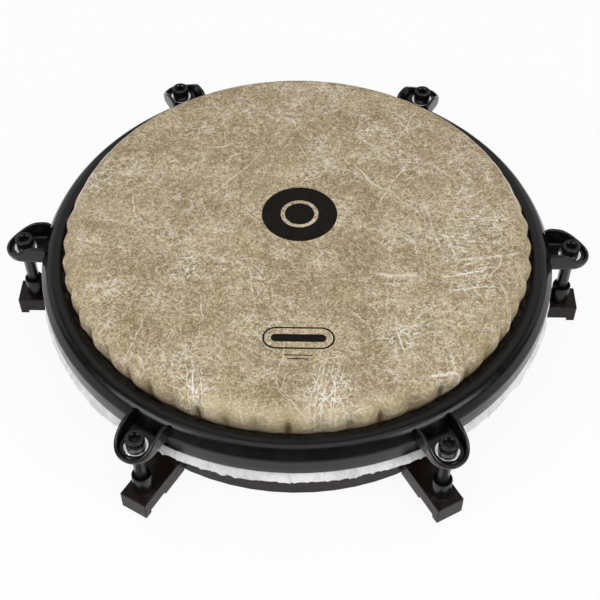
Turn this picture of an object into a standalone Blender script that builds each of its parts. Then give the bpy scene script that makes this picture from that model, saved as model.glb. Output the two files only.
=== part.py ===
"""A compact conga: a full-size pleated head, drawn down over a short shell by a rim with six ears.

Six tuning bolts pass through the ears and screw into sleeves on six arms. The arms stand out from
a ring that carries the shell. Lengths are in metres, +Z is up and the arms stand on z = 0. The
first lug is on +X, and the others follow every 60 degrees.
"""

import math

import bmesh
import bpy

for old in list(bpy.data.objects):
    bpy.data.objects.remove(old)

# Clearances
GAP = 0.0003  # between two pieces that touch on the real drum
BORE_GAP = 0.0003  # round a bolt in its hole

# Pattern
LUGS = 6
PLEATS = 52  # folds round the collar of the film

# Base ring and shell
SHELL_R = 0.1520  # outside of the shell
SHELL_WALL = 0.0090
RING_WALL = 0.0030  # of the base ring, round the foot of the shell
LEDGE_T = 0.0040  # inner ledge of the base ring that the shell stands on
LEDGE_W = 0.0140  # how far the ledge reaches in under the shell
EDGE_R = 0.0070  # round-over of the bearing edge
EDGE_DROP = 0.0020  # fall of the bearing edge to the inner wall

# Head
HEAD_HEIGHT = 0.0865  # playing surface above the floor
FILM_T = 0.0010
PLEAT_DEPTH = 0.0022
HOOP_W = 0.0075
HOOP_H = 0.0095
TAIL_T = 0.0008
TAIL_FLARE = 0.0012  # how far the hem stands out past the wall of the rim
TAIL_DROP = 0.0078  # how far the hem hangs below the rim
TAIL_BEND = 0.45  # share of that drop at which the tail is halfway out
HEM_WAVE = 0.0004  # how far the hem waves in and out
HEM_TOOTH = 0.0007  # unevenness of the torn edge
SLOW_WAVES = 11  # waves round the hem
QUICK_WAVES = 29
SLOW_TEETH = 17
QUICK_TEETH = 31

# Rim
RIM_DROP = 0.0165  # top of the rim below the playing surface
RIM_H = 0.0211
RIM_T = 0.0025
RIM_ROUND = 0.0045  # between the top face and the shoulder
RIM_LEAN = 30  # degrees that the shoulder leans back
SHOULDER_DROP = 0.0086  # foot of the shoulder below the top of the rim
RIM_CROWN = 0.0005  # rise of the top face in its middle
LIP_GAP = 0.0052  # open gap between the collar and the lip of the rim
TAIL_SPACE = 0.0052  # room between the wrapped hoop and the wall of the rim

# Ears
EAR_R = 0.0130  # round end of an ear, about the bolt
EAR_ROOT_HALF = 0.0134  # half the width where the ear meets the rim
EAR_TUCK = 0.0055  # how far in an ear is drawn before the shape of the rim is cut from it
EAR_DROP = 0.0122  # ear floor below the top of the rim
EAR_T = 0.0022
EAR_WALL = 0.0022
EAR_TIP_WALL = 0.0028  # height of the turned-up edge above the floor at the tip
EAR_HUMP_WALL = 0.0128  # and at its highest place, near the rim
EAR_HUMP_AT = 0.0040  # that place, out from the rim
EAR_ROOT_WALL = 0.0115  # and where it meets the rim
EAR_ROUND = 0.0040  # of the edge underneath

# Tuning bolts
BOLT_OFFSET = 0.0132  # bolt axis out from the wall of the rim
SHANK_R = 0.00395
BOLT_END = 0.0100  # tip of a bolt above the floor, inside its arm
HEAD_R = 0.0060
HEAD_H = 0.0080
HEAD_CHAMFER = 0.0006
TIP_CHAMFER = 0.0010
HEX_ACROSS = 0.0060
SOCKET_DEPTH = 0.0050
WASHER_R = 0.0078
WASHER_T = 0.0016

# Sleeves and arms
SLEEVE_R = 0.0062
SLEEVE_H = 0.0140
MOUTH_R = 0.0051  # counterbore at the top of a sleeve
MOUTH_DEPTH = 0.0025
SLEEVE_CHAMFER = 0.0005
ARM_W = 0.0190
ARM_H = 0.0140
ARM_OVERHANG = 0.0120  # arm past the bolt axis
ARM_BEVEL = 0.0005
FOOT_L = 0.0054
NOTCH_L = 0.0155
NOTCH_DEPTH = 0.0031

# Shell screws
SCREW_R = 0.0020
SCREW_HEAD_R = 0.0038
SCREW_CONE_H = 0.0020
SCREW_L = 0.0160
SCREW_SINK = 0.0003  # head below the face of the ring

# Smoothness
RING_STEPS = 72
PLEAT_STEPS = 3  # film steps in one pleat
TAIL_STEPS = 96
SMALL_STEPS = 16
SCREW_STEPS = 12
ARC_STEPS = 3  # steps in a quarter round
LIP_STEPS = 2  # steps round an edge of the rim, and in the hollow of its corner
HEX_SIDES = 6
EAR_STEPS = 12  # steps round the end of an ear, and along its edge
ROUND_STEPS = 3  # steps in the round under an ear
PAST = 0.0010  # how far a cutter runs past the face it cuts
WELD = 0.00001
SMOOTH_ANGLE = math.radians(35)
FLAT_ANGLE = math.radians(0.1)  # faces that meet at less than this are one flat face

# What follows from the sizes above
COLLAR_R = SHELL_R + GAP + FILM_T
HOOP_IN_R = COLLAR_R + PLEAT_DEPTH + GAP
HOOP_OUT_R = HOOP_IN_R + HOOP_W
WRAP_R = HOOP_OUT_R + GAP + FILM_T
RIM_R = WRAP_R + TAIL_SPACE + RIM_T
RING_R = SHELL_R + GAP + RING_WALL
BOLT_CIRCLE_R = RIM_R + BOLT_OFFSET
ARM_START = RING_R + GAP
BORE_R = SHANK_R + BORE_GAP
SCREW_CIRCLE_R = SHELL_R - SHELL_WALL / 2
RIM_TOP = HEAD_HEIGHT - RIM_DROP
RIM_BOTTOM = RIM_TOP - RIM_H
RIM_FOOT = RIM_TOP - SHOULDER_DROP
RIM_SLOPE = math.tan(math.radians(RIM_LEAN))
HALF_SLOPE = math.tan(math.radians(RIM_LEAN) / 2)
HOOP_TOP = RIM_TOP - RIM_CROWN - RIM_T - GAP
HOOP_BOTTOM = HOOP_TOP - HOOP_H
SHELL_BOTTOM = LEDGE_T + GAP
SHELL_TOP = HEAD_HEIGHT - FILM_T - GAP
EAR_FLOOR = RIM_TOP - EAR_DROP
WASHER_BOTTOM = EAR_FLOOR + GAP
HEAD_BOTTOM = WASHER_BOTTOM + WASHER_T + GAP
SLEEVE_BOTTOM = ARM_H + GAP


def material(name, colour, roughness, metallic=0.0):
    made = bpy.data.materials.new(name)
    made.use_nodes = True
    shader = made.node_tree.nodes["Principled BSDF"]
    shader.inputs["Base Color"].default_value = (*colour, 1.0)
    shader.inputs["Roughness"].default_value = roughness
    shader.inputs["Metallic"].default_value = metallic
    made.diffuse_color = (*colour, 1.0)
    return made


def collection(name):
    made = bpy.data.collections.new(name)
    bpy.context.scene.collection.children.link(made)
    return made


def arc(centre, radius, start, end, steps):
    """Points of an arc in (r, z), from one angle in degrees to another."""
    turns = [math.radians(start + (end - start) * i / steps) for i in range(steps + 1)]
    return [(centre[0] + radius * math.cos(t), centre[1] + radius * math.sin(t)) for t in turns]


def shade(mesh):
    mesh.shade_smooth()
    mesh.set_sharp_from_angle(angle=SMOOTH_ANGLE)


def add(name, mesh, look, parent=None, location=(0, 0, 0), turn=0.0):
    """A named sub-part of the drum."""
    obj = bpy.data.objects.new(name, mesh)
    PARTS.objects.link(obj)
    obj.location = location
    obj.rotation_euler = (0, 0, turn)
    obj.parent = parent
    if not mesh.materials:
        mesh.materials.append(look)
    return obj


def add_cutter(name, mesh, location=(0, 0, 0), turn=0.0):
    obj = bpy.data.objects.new(name, mesh)
    CUTTERS.objects.link(obj)
    obj.location = location
    obj.rotation_euler = (0, 0, turn)
    obj.hide_render = True
    obj.display_type = "WIRE"
    return obj


def cut(target, *cutters):
    for cutter in cutters:
        boolean = target.modifiers.new("cut_" + cutter.name, "BOOLEAN")
        boolean.object = cutter
        boolean.operation = "DIFFERENCE"
        boolean.solver = "EXACT"


def evaluated(obj):
    """The mesh of an object with its modifiers, its loose caps welded; the object itself goes."""
    depsgraph = bpy.context.evaluated_depsgraph_get()
    mesh = bpy.data.meshes.new_from_object(obj.evaluated_get(depsgraph))
    mesh.name = obj.name
    welded = bmesh.new()
    welded.from_mesh(mesh)
    bmesh.ops.remove_doubles(welded, verts=welded.verts, dist=WELD)
    bmesh.ops.recalc_face_normals(welded, faces=welded.faces)
    welded.to_mesh(mesh)
    welded.free()
    data = obj.data
    bpy.data.objects.remove(obj)
    if isinstance(data, bpy.types.Curve):
        bpy.data.curves.remove(data)
    return mesh


def turned(name, profile, steps, closed=True):
    """A profile in (r, z), running down its outer side, turned about Z."""
    points = [(r, 0.0, z) for r, z in profile]
    edges = [(i, i + 1) for i in range(len(points) - 1)]
    if closed:
        edges.append((len(points) - 1, 0))
    mesh = bpy.data.meshes.new(name)
    mesh.from_pydata(points, edges, [])
    obj = bpy.data.objects.new(name, mesh)
    bpy.context.scene.collection.objects.link(obj)
    screw = obj.modifiers.new("turn", "SCREW")
    screw.axis = "Z"
    screw.steps = steps
    screw.render_steps = steps
    screw.use_merge_vertices = True
    screw.merge_threshold = WELD
    made = evaluated(obj)
    shade(made)
    return made


def plate(name, outline, low, high):
    """A flat outline in (x, y), filled and extruded from one height to another."""
    curve = bpy.data.curves.new(name, "CURVE")
    curve.dimensions = "2D"
    curve.fill_mode = "BOTH"
    curve.extrude = (high - low) / 2
    spline = curve.splines.new("POLY")
    spline.points.add(len(outline) - 1)
    for point, (x, y) in zip(spline.points, outline):
        point.co = (x, y, 0.0, 1.0)
    spline.use_cyclic_u = True
    obj = bpy.data.objects.new(name, curve)
    bpy.context.scene.collection.objects.link(obj)
    made = evaluated(obj)
    form = bmesh.new()
    form.from_mesh(made)
    bmesh.ops.translate(form, verts=form.verts, vec=(0, 0, (high + low) / 2))
    bmesh.ops.dissolve_limit(form, angle_limit=FLAT_ANGLE, verts=form.verts, edges=form.edges)
    form.to_mesh(made)
    form.free()
    return made


def box(name, low, high):
    mesh = bpy.data.meshes.new(name)
    form = bmesh.new()
    bmesh.ops.create_cube(form, size=1.0)
    for vertex in form.verts:
        for axis in range(3):
            middle = (low[axis] + high[axis]) / 2
            vertex.co[axis] = middle + vertex.co[axis] * (high[axis] - low[axis])
    form.to_mesh(mesh)
    form.free()
    return mesh


def cylinder(name, radius, low, high, steps):
    mesh = bpy.data.meshes.new(name)
    form = bmesh.new()
    bmesh.ops.create_cone(
        form, cap_ends=True, segments=steps, radius1=radius, radius2=radius, depth=high - low
    )
    bmesh.ops.translate(form, verts=form.verts, vec=(0, 0, (low + high) / 2))
    form.to_mesh(mesh)
    form.free()
    return mesh


def polar(radius, turn):
    return (radius * math.cos(turn), radius * math.sin(turn), 0.0)


def bevel_edges(mesh, width, steps, chosen):
    """Bevels or rounds the edges that a test picks by their two ends."""
    form = bmesh.new()
    form.from_mesh(mesh)
    picked = [edge for edge in form.edges if chosen(*(v.co for v in edge.verts))]
    bmesh.ops.bevel(form, geom=picked, offset=width, segments=steps, affect="EDGES", profile=0.5)
    form.to_mesh(mesh)
    form.free()


def make_base_ring(screw_cutters):
    profile = [
        (SHELL_R + GAP, ARM_H),
        (RING_R, ARM_H),
        (RING_R, 0.0),
        (SHELL_R - LEDGE_W, 0.0),
        (SHELL_R - LEDGE_W, LEDGE_T),
        (SHELL_R + GAP, LEDGE_T),
    ]
    ring = add("base_ring", turned("base_ring", profile, RING_STEPS), STEEL)
    cut(ring, *screw_cutters)
    return ring


def make_shell(screw_cutters):
    inner = SHELL_R - SHELL_WALL
    edge = arc((SHELL_R - EDGE_R, SHELL_TOP - EDGE_R), EDGE_R, 90, 0, ARC_STEPS)
    profile = [(inner, SHELL_TOP - EDGE_DROP), *edge, (SHELL_R, SHELL_BOTTOM), (inner, SHELL_BOTTOM)]
    shell = add("shell", turned("shell", profile, RING_STEPS), SHELL_LOOK)
    cut(shell, *screw_cutters)
    return shell


def make_screw_cutters(turns):
    """Countersunk holes through the ledge of the ring and up into the shell."""
    head_r = SCREW_HEAD_R + GAP
    hole_r = SCREW_R + GAP
    profile = [
        (0.0, SCREW_SINK + SCREW_L + GAP),
        (hole_r, SCREW_SINK + SCREW_L + GAP),
        (hole_r, SCREW_SINK + SCREW_CONE_H + GAP),
        (head_r, SCREW_SINK + GAP),
        (head_r, -PAST),
        (0.0, -PAST),
    ]
    mesh = turned("screw_cutter", profile, SCREW_STEPS, closed=False)
    aside = math.pi / SCREW_STEPS  # so that no corner of a hole falls on an edge of the ring
    return [
        add_cutter(f"screw_cutter_{n + 1}", mesh, polar(SCREW_CIRCLE_R, turn), turn + aside)
        for n, turn in enumerate(turns)
    ]


def make_shell_screws(turns):
    profile = [
        (0.0, SCREW_SINK + SCREW_L),
        (SCREW_R, SCREW_SINK + SCREW_L),
        (SCREW_R, SCREW_SINK + SCREW_CONE_H),
        (SCREW_HEAD_R, SCREW_SINK),
        (0.0, SCREW_SINK),
    ]
    mesh = turned("shell_screw", profile, SCREW_STEPS, closed=False)
    for n, turn in enumerate(turns):
        add(f"shell_screw_{n + 1}", mesh, SCREW_LOOK, None, polar(SCREW_CIRCLE_R, turn), turn)


def make_hoop():
    profile = [
        (HOOP_IN_R, HOOP_TOP),
        (HOOP_OUT_R, HOOP_TOP),
        (HOOP_OUT_R, HOOP_BOTTOM),
        (HOOP_IN_R, HOOP_BOTTOM),
    ]
    return add("flesh_hoop", turned("flesh_hoop", profile, RING_STEPS), STEEL)


def pleat(angle):
    """0 in the fold between two pleats and 1 over the middle of a pleat."""
    return abs(math.sin(PLEATS * angle / 2))


def make_drumhead():
    """The film: playing surface, shoulder, pleated collar, and the wrap round the flesh hoop."""
    outer_r = EDGE_R + GAP + FILM_T
    centre = (COLLAR_R - outer_r, HEAD_HEIGHT - outer_r)
    wrap_low = HOOP_BOTTOM - GAP
    profile = [
        (0.0, HEAD_HEIGHT),
        *arc(centre, outer_r, 90, 0, ARC_STEPS),
        (COLLAR_R, wrap_low),
        (HOOP_OUT_R + GAP, wrap_low),
        (HOOP_OUT_R + GAP, HOOP_TOP),
        (WRAP_R, HOOP_TOP),
        (WRAP_R, wrap_low - FILM_T),
        (COLLAR_R - FILM_T, wrap_low - FILM_T),
        *arc(centre, outer_r - FILM_T, 0, 90, ARC_STEPS),
        (0.0, HEAD_HEIGHT - FILM_T),
    ]
    mesh = turned("drumhead", profile, PLEATS * PLEAT_STEPS, closed=False)
    shoulder_r = centre[0]
    for vertex in mesh.vertices:
        r = math.hypot(vertex.co.x, vertex.co.y)
        if shoulder_r + WELD < r < HOOP_IN_R and vertex.co.z > wrap_low + WELD:
            share = (r - shoulder_r) / (COLLAR_R - shoulder_r)
            swell = PLEAT_DEPTH * share * share * pleat(math.atan2(vertex.co.y, vertex.co.x))
            vertex.co.x *= 1 + swell / r
            vertex.co.y *= 1 + swell / r
    return add("drumhead", mesh, FILM)


def make_tail():
    """The loose edge of the film, hanging out from under the rim, with a torn hem."""
    inside = WRAP_R + GAP
    lip = RIM_R - RIM_T - GAP
    hem_r = RIM_R + TAIL_FLARE
    outer = [
        (inside + TAIL_T, HOOP_TOP - GAP),
        (lip, RIM_BOTTOM + RIM_T),
        (lip, RIM_BOTTOM),
        ((lip + hem_r) / 2, RIM_BOTTOM - TAIL_DROP * TAIL_BEND),
        (hem_r, RIM_BOTTOM - TAIL_DROP),
    ]
    inner = [(r - TAIL_T, z) for r, z in reversed(outer)]
    mesh = turned("head_tail", outer + inner, TAIL_STEPS)
    for vertex in mesh.vertices:
        angle = math.atan2(vertex.co.y, vertex.co.x)
        loose = max(0.0, (RIM_BOTTOM - vertex.co.z) / TAIL_DROP)
        wave = math.sin(SLOW_WAVES * angle) + math.sin(QUICK_WAVES * angle)
        torn = math.sin(SLOW_TEETH * angle) * math.sin(QUICK_TEETH * angle)
        r = math.hypot(vertex.co.x, vertex.co.y)
        grow = 1 + HEM_WAVE * wave * loose / r
        vertex.co.x *= grow
        vertex.co.y *= grow
        vertex.co.z += HEM_TOOTH * torn * loose * loose
    return add("head_tail", mesh, TAIL)


def make_rim(parent):
    """A flat top face, a shoulder that leans back, and an upright wall round its foot."""
    lip_r = COLLAR_R + LIP_GAP
    half = RIM_T / 2
    lean = math.radians(RIM_LEAN)
    corner_z = RIM_TOP - RIM_ROUND
    shoulder_h = corner_z + RIM_ROUND * math.sin(lean) - RIM_FOOT
    corner = (RIM_R - shoulder_h * RIM_SLOPE - RIM_ROUND * math.cos(lean), corner_z)
    profile = [
        *arc((lip_r + half, RIM_TOP - RIM_CROWN - half), half, 270, 90, LIP_STEPS),
        ((lip_r + corner[0]) / 2, RIM_TOP),
        *arc(corner, RIM_ROUND, 90, RIM_LEAN, ARC_STEPS),
        (RIM_R, RIM_FOOT),
        *arc((RIM_R - half, RIM_BOTTOM + half), half, 0, -180, LIP_STEPS),
        (RIM_R - RIM_T, RIM_FOOT - RIM_T * HALF_SLOPE),
        *arc(corner, RIM_ROUND - RIM_T, RIM_LEAN, 90, LIP_STEPS),
        ((lip_r + corner[0]) / 2, RIM_TOP - RIM_T),
    ]
    return add("tension_rim", turned("tension_rim", profile, RING_STEPS), RIM_LOOK, parent)


def ear_outline(shrink):
    """Outline of an ear seen from above, drawn in by a margin; x runs out from the bolt axis."""
    root = -BOLT_OFFSET - EAR_TUCK
    half = EAR_ROOT_HALF - shrink
    lean = math.degrees(math.atan2(EAR_ROOT_HALF - EAR_R, BOLT_OFFSET))
    tip = arc((0.0, 0.0), EAR_R - shrink, -90 + lean, 90 - lean, EAR_STEPS)
    return [(root, -half), *tip, (root, half)]


def crown_height(out):
    """Height of the turned-up edge above the ear floor, at a distance out from the rim."""
    if out < EAR_HUMP_AT:
        share = out / EAR_HUMP_AT
        return EAR_ROOT_WALL + (EAR_HUMP_WALL - EAR_ROOT_WALL) * math.sin(share * math.pi / 2)
    share = min(1.0, (out - EAR_HUMP_AT) / (BOLT_OFFSET + EAR_R - EAR_HUMP_AT))
    ease = (1 - math.cos(share * math.pi)) / 2
    return EAR_HUMP_WALL + (EAR_TIP_WALL - EAR_HUMP_WALL) * ease


def make_rim_room(low, high):
    """The outside of the rim and a gap round it, to be cut from the ears."""
    bend = RIM_FOOT + GAP * HALF_SLOPE
    wall_r = RIM_R + GAP
    profile = [
        (0.0, high),
        (wall_r - (high - bend) * RIM_SLOPE, high),
        (wall_r, bend),
        (wall_r, low),
        (0.0, low),
    ]
    return add_cutter("rim_room", turned("rim_room", profile, RING_STEPS, closed=False))


def make_ears(parent, turns):
    """Stamped cups: a floor with a turned-up edge that is highest near the rim."""
    low = EAR_FLOOR - EAR_T
    high = EAR_FLOOR + EAR_HUMP_WALL + PAST
    mesh = plate("rim_ear", ear_outline(0.0), low, high)
    bevel_edges(
        mesh,
        EAR_ROUND,
        ROUND_STEPS,
        lambda a, b: max(a.z, b.z) < low + WELD and max(a.x, b.x) > -BOLT_OFFSET,
    )
    pocket_mesh = plate("ear_pocket", ear_outline(EAR_WALL), EAR_FLOOR, high + PAST)
    bore_mesh = cylinder("ear_bore", BORE_R, low - PAST, high, SMALL_STEPS)
    reach = BOLT_OFFSET + EAR_R
    start = -EAR_TUCK - PAST
    outs = [start] + [reach * i / EAR_STEPS for i in range(EAR_STEPS + 1)] + [reach + PAST]
    side = [(out - BOLT_OFFSET, EAR_FLOOR + crown_height(max(0.0, out))) for out in outs]
    side += [(reach + PAST - BOLT_OFFSET, high + PAST), (start - BOLT_OFFSET, high + PAST)]
    crown_mesh = plate("ear_crown", side, -EAR_ROOT_HALF - PAST, EAR_ROOT_HALF + PAST)
    stand_up(crown_mesh)
    rim_room = make_rim_room(low - PAST, high + PAST)
    for n, turn in enumerate(turns):
        place = polar(BOLT_CIRCLE_R, turn)
        cutters = [
            add_cutter(f"ear_pocket_{n + 1}", pocket_mesh, place, turn),
            add_cutter(f"ear_crown_{n + 1}", crown_mesh, place, turn),
            add_cutter(f"ear_bore_{n + 1}", bore_mesh, place, turn),
            rim_room,
        ]
        ear = add(f"rim_ear_{n + 1}", mesh, EAR_LOOK, parent, place, turn)
        cut(ear, *cutters)


def stand_up(mesh):
    """Turns an outline drawn in (x, y) so that its y becomes height."""
    for vertex in mesh.vertices:
        x, y, z = vertex.co
        vertex.co = (x, -z, y)


def make_washers(parent, turns):
    low, high = WASHER_BOTTOM, WASHER_BOTTOM + WASHER_T
    profile = [(BORE_R, high), (WASHER_R, high), (WASHER_R, low), (BORE_R, low)]
    mesh = turned("washer", profile, SMALL_STEPS)
    for n, turn in enumerate(turns):
        add(f"washer_{n + 1}", mesh, CHROME, parent, polar(BOLT_CIRCLE_R, turn), turn)


def make_bolts(parent, turns):
    """Socket-head screws; each object's origin is on its own axis."""
    top = HEAD_BOTTOM + HEAD_H
    profile = [
        (0.0, top),
        (HEAD_R - HEAD_CHAMFER, top),
        (HEAD_R, top - HEAD_CHAMFER),
        (HEAD_R, HEAD_BOTTOM),
        (SHANK_R, HEAD_BOTTOM),
        (SHANK_R, BOLT_END + TIP_CHAMFER),
        (SHANK_R - TIP_CHAMFER, BOLT_END),
        (0.0, BOLT_END),
    ]
    mesh = turned("tuning_bolt", profile, SMALL_STEPS, closed=False)
    corner_r = HEX_ACROSS / 2 / math.cos(math.pi / HEX_SIDES)
    socket_mesh = cylinder("hex_socket", corner_r, top - SOCKET_DEPTH, top + PAST, HEX_SIDES)
    for n, turn in enumerate(turns):
        place = polar(BOLT_CIRCLE_R, turn)
        bolt = add(f"tuning_bolt_{n + 1}", mesh, BOLT_LOOK, parent, place)
        cut(bolt, add_cutter(f"hex_socket_{n + 1}", socket_mesh, place))


def make_sleeves(parent, turns):
    top = SLEEVE_BOTTOM + SLEEVE_H
    profile = [
        (MOUTH_R, top),
        (SLEEVE_R - SLEEVE_CHAMFER, top),
        (SLEEVE_R, top - SLEEVE_CHAMFER),
        (SLEEVE_R, SLEEVE_BOTTOM),
        (BORE_R, SLEEVE_BOTTOM),
        (BORE_R, top - MOUTH_DEPTH),
        (MOUTH_R, top - MOUTH_DEPTH),
    ]
    mesh = turned("threaded_sleeve", profile, SMALL_STEPS)
    for n, turn in enumerate(turns):
        add(f"threaded_sleeve_{n + 1}", mesh, SLEEVE_LOOK, parent, polar(BOLT_CIRCLE_R, turn), turn)


def make_arms(parent, turns):
    """Bars that stand on the floor, notched underneath for a stand and drilled for the bolt."""
    start = ARM_START - BOLT_CIRCLE_R
    end = ARM_OVERHANG
    mesh = box("arm", (start, -ARM_W / 2, 0.0), (end, ARM_W / 2, ARM_H))
    bevel_edges(mesh, ARM_BEVEL, 1, lambda a, b: True)
    notch_end = end - FOOT_L
    notch_mesh = box(
        "arm_notch", (notch_end - NOTCH_L, -ARM_W, -PAST), (notch_end, ARM_W, NOTCH_DEPTH)
    )
    bore_mesh = cylinder("arm_bore", BORE_R, -PAST, ARM_H + PAST, SMALL_STEPS)
    for n, turn in enumerate(turns):
        place = polar(BOLT_CIRCLE_R, turn)
        arm = add(f"arm_{n + 1}", mesh, STEEL, parent, place, turn)
        notch = add_cutter(f"arm_notch_{n + 1}", notch_mesh, place, turn)
        bore = add_cutter(f"arm_bore_{n + 1}", bore_mesh, place, turn)
        cut(arm, notch, bore)


def make_carrier(name):
    carrier = bpy.data.objects.new(name, None)
    PARTS.objects.link(carrier)
    return carrier


PARTS = collection("conga")
CUTTERS = collection("conga_cutters")

STEEL = material("frame_paint", (0.030, 0.028, 0.028), 0.42)
SHELL_LOOK = material("shell_lacquer", (0.045, 0.038, 0.032), 0.5)
FILM = material("film", (0.42, 0.31, 0.19), 0.55)
TAIL = material("film_tail", (0.75, 0.75, 0.72), 0.6)
RIM_LOOK = material("rim_paint", (0.018, 0.018, 0.019), 0.35)
EAR_LOOK = material("ear_paint", (0.012, 0.012, 0.013), 0.4)
BOLT_LOOK = material("black_oxide", (0.020, 0.020, 0.021), 0.35, 0.6)
SLEEVE_LOOK = material("sleeve_paint", (0.022, 0.021, 0.021), 0.35)
CHROME = material("washer_chrome", (0.75, 0.75, 0.76), 0.15, 1.0)
SCREW_LOOK = material("screw_zinc", (0.45, 0.45, 0.46), 0.4, 1.0)


def main():
    turns = [2 * math.pi * n / LUGS for n in range(LUGS)]
    between = [turn + math.pi / LUGS for turn in turns]
    frame = make_carrier("frame_carrier")
    rim_carrier = make_carrier("rim_carrier")
    screw_cutters = make_screw_cutters(between)
    make_base_ring(screw_cutters)
    make_shell(screw_cutters)
    make_shell_screws(between)
    make_arms(frame, turns)
    make_sleeves(frame, turns)
    make_drumhead()
    make_tail()
    make_hoop()
    make_rim(rim_carrier)
    make_ears(rim_carrier, turns)
    make_washers(rim_carrier, turns)
    make_bolts(rim_carrier, turns)


main()
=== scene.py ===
"""The looks of a compact conga: film, torn skirt, curved rim, ears, bolts, washers and sleeves."""
import math

import bmesh
import bpy
from mathutils import Matrix, Vector, noise


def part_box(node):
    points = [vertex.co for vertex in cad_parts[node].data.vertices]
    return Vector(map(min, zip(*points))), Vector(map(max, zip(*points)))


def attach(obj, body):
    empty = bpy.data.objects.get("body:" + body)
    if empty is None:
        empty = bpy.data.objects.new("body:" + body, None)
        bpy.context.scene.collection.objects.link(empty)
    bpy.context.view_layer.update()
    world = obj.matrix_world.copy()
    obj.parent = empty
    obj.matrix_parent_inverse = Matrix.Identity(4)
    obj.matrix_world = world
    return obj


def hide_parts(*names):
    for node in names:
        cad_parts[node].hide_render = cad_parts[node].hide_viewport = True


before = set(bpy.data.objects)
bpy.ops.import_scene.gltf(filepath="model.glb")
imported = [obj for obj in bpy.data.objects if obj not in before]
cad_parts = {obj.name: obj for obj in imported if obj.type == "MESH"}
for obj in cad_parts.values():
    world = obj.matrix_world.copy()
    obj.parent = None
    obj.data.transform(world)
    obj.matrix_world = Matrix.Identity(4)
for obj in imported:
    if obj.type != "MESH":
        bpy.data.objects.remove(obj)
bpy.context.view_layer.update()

LUGS = 6
TURNS = [2 * math.pi * n / LUGS for n in range(LUGS)]
GAP = 0.0003  # between pieces that touch on the real drum
SHARP = math.radians(38)  # edges bent more than this stay sharp
WELD = 0.00001  # points nearer than this are joined

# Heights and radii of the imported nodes
FILM_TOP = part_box("drumhead")[1].z
WRAP_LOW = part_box("drumhead")[0].z
WRAP_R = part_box("drumhead")[1].x
RIM_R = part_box("tension_rim")[1].x
RIM_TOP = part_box("tension_rim")[1].z
RIM_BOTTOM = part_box("tension_rim")[0].z
TAIL_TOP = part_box("head_tail")[1].z
HOOP_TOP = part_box("flesh_hoop")[1].z
BOLT_LOW, BOLT_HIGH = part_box("tuning_bolt_1")
WASHER_LOW, WASHER_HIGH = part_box("washer_1")
SLEEVE_LOW, SLEEVE_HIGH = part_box("threaded_sleeve_1")
LUG_R = (BOLT_LOW.x + BOLT_HIGH.x) / 2
EAR_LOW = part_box("rim_ear_1")[0].z
EAR_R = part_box("rim_ear_1")[1].x - LUG_R

# Film
FILM_T = 0.0010
FILM_RINGS = (0.0, 0.03, 0.06, 0.09, 0.115, 0.130, 0.137, 0.140, 0.142, 0.1435)
SHOULDER_R = 0.1450
SHOULDER_STEPS = 10
COLLAR_R = 0.1533
COLLAR_STEPS = 9
COLLAR_START = 0.0010  # how far below the round of the shoulder the collar's rings begin
WRAP_EDGE = 0.0004
HOOP_SIDE_R = WRAP_R - FILM_T

# Pleats
PLEATS = 52
PLEAT_STEPS = 16
PLEAT_DEPTH = 0.0041
PLEAT_DRIFT = ((3, 0.6, 0.45), (5, 2.1, 0.35), (8, 4.0, 0.30))  # waves round the head, start and size
PLEAT_BASE = 0.0002  # how far in the folds between the pleats go
PLEAT_SAG = 0.0005  # how far the film drops in those folds
PLEAT_LATE = 3.2  # the higher, the later the pleats deepen on the shoulder
PLEAT_KEPT = 0.40  # share of their depth that is left at the hoop
PLEAT_FADE = 0.0050  # height over the hoop in which they lose the rest
PLEAT_END = 0.0012  # how far above the wrap's lower edge they end

# Skirt: the film's white tail, which hangs below the rim
SKIRT_T = 0.0008
SKIRT_STEPS = 1200
SKIRT_ROWS = 10
SKIRT_IN_R = WRAP_R + GAP
SKIRT_DROP = 0.0078
HEM_OUT = 0.0012
HEM_RISE = 0.0005  # how far the hem is drawn up, where nothing else moves it
# Noises round the skirt: how many waves, which noise and how far it moves the sheet
HEM_WAVES = ((9, 1.0, 0.00055), (26, 4.0, 0.00035))
HEM_TEARS = ((6, 9.0, 0.0012), (22, 3.0, 0.0007), (90, 5.0, 0.0003))
FINE_CREASES = (60, 7.0, 0.00022)
FINE_WAVES = (140, 2.0, 0.00012)
# Torn points round the hem: how many, where they begin, their length and the share of the way they take
HEM_TEETH = (
    (31, 2.2, 0.0019, 0.08),
    (67, 1.1, 0.0016, 0.14),
    (113, 0.2, 0.0014, 0.22),
    (149, 2.9, 0.0011, 0.24),
)

# Rim
RIM_T = 0.0025
RIM_STEPS = 256
LIP_R = 0.1585
LIP_RISE = 0.0022  # how far out from the lip the top face has nearly risen to its height
RIM_CROWN = 0.0005  # how far the top face falls to the lip
RIM_ROUND = 0.0072
RIM_LEAN = 30  # degrees that the shoulder of the rim leans back
RIM_FOOT = RIM_TOP - 0.0086  # foot of the shoulder
RIM_SLOPE = math.tan(math.radians(RIM_LEAN))
HALF_SLOPE = math.tan(math.radians(RIM_LEAN) / 2)
FLAT_IN = 0.0010  # how far past the middle of the top face its level part begins
FOOT_POINTS = (0.0010, 0.0004)  # distances from the foot of the points that keep its edge crisp
WALL_RING = 0.0060  # height on the wall of a ring that keeps its shading flat

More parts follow.
